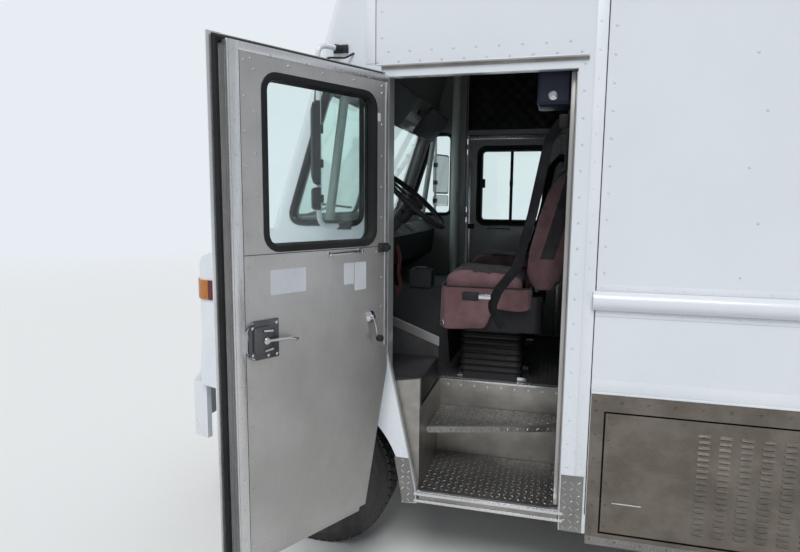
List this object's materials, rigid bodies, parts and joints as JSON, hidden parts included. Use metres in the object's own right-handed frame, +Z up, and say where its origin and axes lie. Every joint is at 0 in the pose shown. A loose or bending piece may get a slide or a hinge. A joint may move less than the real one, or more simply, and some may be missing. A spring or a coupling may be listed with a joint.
{
  "type": "walk-in van food truck",
  "caption": "Riveted aluminium walk-in van food truck with hinged cab doors, stepwells, kerb-side serving hatch with shelf, rear door and rolling, steering wheels.",
  "frame": {"origin": "on the ground, under the middle of the outline as parked, with the driver's door open and both mirrors counted", "axes": "+X towards the vehicle's left (driver's) side, +Y rearward, +Z up"},
  "size_m": [3.4655, 7.345, 3.3399],
  "materials": {
    "body_white": "gloss",
    "door_aluminium": "brushed",
    "diamond_plate": "polished",
    "stainless": "brushed",
    "chrome_trim": "polished",
    "tinted_glass": "gloss",
    "lamp_clear": "gloss",
    "lamp_amber": "gloss",
    "lamp_red": "gloss",
    "mirror_face": "polished",
    "black_rubber": "matte",
    "tyre_rubber": "matte",
    "wheel_white": "satin",
    "chassis_black": "satin",
    "engine_grey": "matte",
    "exhaust_steel": "matte",
    "black_plastic": "matte",
    "dark_plastic": "matte",
    "navy_plastic": "gloss",
    "grey_green_trim": "matte",
    "floor_mat": "matte",
    "seat_charcoal": "matte",
    "seat_mauve": "matte",
    "belt_webbing": "matte",
    "quilted_lining": "satin",
    "red_webbing": "matte",
    "bare_label": "matte"
  },
  "bodies": {
    "truck_body": {"bumpers": "body_white", "cab_frame": "body_white", "cab_glass": "tinted_glass", "cab_sides": "body_white", "chassis_rails": "chassis_black", "compartment_frame": "stainless", "cross_members": "chassis_black", "dashboard": "dark_plastic", "driver_seat_back": "seat_charcoal", "driver_seat_cushion": "seat_mauve", "engine": "engine_grey", "exhaust_system": "exhaust_steel", "floor": "floor_mat", "front_axle": "chassis_black", "front_fenders": "body_white", "fuel_tank": "chassis_black", "grille": "black_plastic", "headlamps": "lamp_clear", "kitchen_units": "stainless", "leaf_springs": "chassis_black", "left_wall": "body_white", "mirrors": "black_plastic", "nose_panel": "body_white", "passenger_seat": "seat_charcoal", "radiator": "engine_grey", "rear_axle": "chassis_black", "rear_wall": "body_white", "right_wall": "body_white", "roof": "body_white", "roof_vents": "stainless", "seat_bases": "black_plastic", "side_lamps": "lamp_amber", "stepwells": "door_aluminium", "tail_lamps": "lamp_red"},
    "left_knuckle": {"knuckle_left": "chassis_black"},
    "right_knuckle": {"knuckle_right": "chassis_black"},
    "front_left_wheel": {"wheel_front_left": "wheel_white", "tyre_front_left": "tyre_rubber"},
    "front_right_wheel": {"wheel_front_right": "wheel_white", "tyre_front_right": "tyre_rubber"},
    "rear_left_wheels": {"wheels_rear_left": "wheel_white", "tyres_rear_left": "tyre_rubber"},
    "rear_right_wheels": {"wheels_rear_right": "wheel_white", "tyres_rear_right": "tyre_rubber"},
    "steering": {"steering_wheel": "black_plastic"},
    "driver_side_door": {"driver_door": "door_aluminium", "driver_door_glass": "tinted_glass", "driver_door_handles": "chrome_trim"},
    "passenger_side_door": {"passenger_door": "body_white", "passenger_door_glass": "tinted_glass"},
    "back_door": {"rear_door": "body_white"},
    "hatch": {"serving_hatch": "body_white"},
    "shelf": {"serving_shelf": "stainless"},
    "locker_door": {"compartment_door": "stainless"},
    "hood_panel": {"hood": "body_white"}
  },
  "joints": [
    {"name": "left_knuckle_steers", "type": "hinge", "parent": "truck_body", "child": "left_knuckle", "pos_m": [0.51938, -2.8975, 0.405], "axis": [0, 0, 1], "range_deg": [-35, 35]},
    {"name": "right_knuckle_steers", "type": "hinge", "parent": "truck_body", "child": "right_knuckle", "pos_m": [-1.00062, -2.8975, 0.405], "axis": [0, 0, 1], "range_deg": [-35, 35]},
    {"name": "steering_wheel_turns", "type": "hinge", "parent": "truck_body", "child": "steering", "pos_m": [0.25938, -2.4975, 1.85], "axis": [0, 0.6606, 0.7507], "range_deg": [-500, 500]},
    {"name": "front_left_wheel_rolls", "type": "hinge", "parent": "left_knuckle", "child": "front_left_wheel", "pos_m": [0.64438, -2.8975, 0.405], "axis": [1, 0, 0], "continuous": true},
    {"name": "front_right_wheel_rolls", "type": "hinge", "parent": "right_knuckle", "child": "front_right_wheel", "pos_m": [-1.12562, -2.8975, 0.405], "axis": [1, 0, 0], "continuous": true},
    {"name": "rear_left_wheels_roll", "type": "hinge", "parent": "truck_body", "child": "rear_left_wheels", "pos_m": [0.62288, 1.6225, 0.405], "axis": [1, 0, 0], "continuous": true},
    {"name": "rear_right_wheels_roll", "type": "hinge", "parent": "truck_body", "child": "rear_right_wheels", "pos_m": [-1.10412, 1.6225, 0.405], "axis": [1, 0, 0], "continuous": true},
    {"name": "driver_door_swings", "type": "hinge", "parent": "truck_body", "child": "driver_side_door", "pos_m": [0.96538, -2.4695, 1.7], "axis": [0, 0, 1], "range_deg": [0, 118]},
    {"name": "passenger_door_swings", "type": "hinge", "parent": "truck_body", "child": "passenger_side_door", "pos_m": [-1.44662, -2.4695, 1.7], "axis": [0, 0, 1], "range_deg": [0, 118]},
    {"name": "rear_door_swings", "type": "hinge", "parent": "truck_body", "child": "back_door", "pos_m": [0.20838, 3.4835, 1.6], "axis": [0, 0, -1], "range_deg": [0, 110]},
    {"name": "hatch_lifts", "type": "hinge", "parent": "truck_body", "child": "hatch", "pos_m": [-1.44562, 0.1925, 2.466], "axis": [0, 1, 0], "range_deg": [0, 100]},
    {"name": "shelf_folds_up", "type": "hinge", "parent": "truck_body", "child": "shelf", "pos_m": [-1.44562, 0.1925, 1.35], "axis": [0, 1, 0], "range_deg": [0, 90]},
    {"name": "compartment_door_swings", "type": "hinge", "parent": "truck_body", "child": "locker_door", "pos_m": [0.96238, -0.2995, 0.68], "axis": [0, 0, 1], "range_deg": [0, 110]},
    {"name": "hood_lifts", "type": "hinge", "parent": "truck_body", "child": "hood_panel", "pos_m": [-0.24062, -3.1345, 1.69048], "axis": [-1, 0, 0], "range_deg": [0, 60]}
  ],
  "couplings": [
    {"joint": "right_knuckle_steers", "follows": "left_knuckle_steers", "ratio": 1},
    {"joint": "steering_wheel_turns", "follows": "left_knuckle_steers", "ratio": 14}
  ]
}
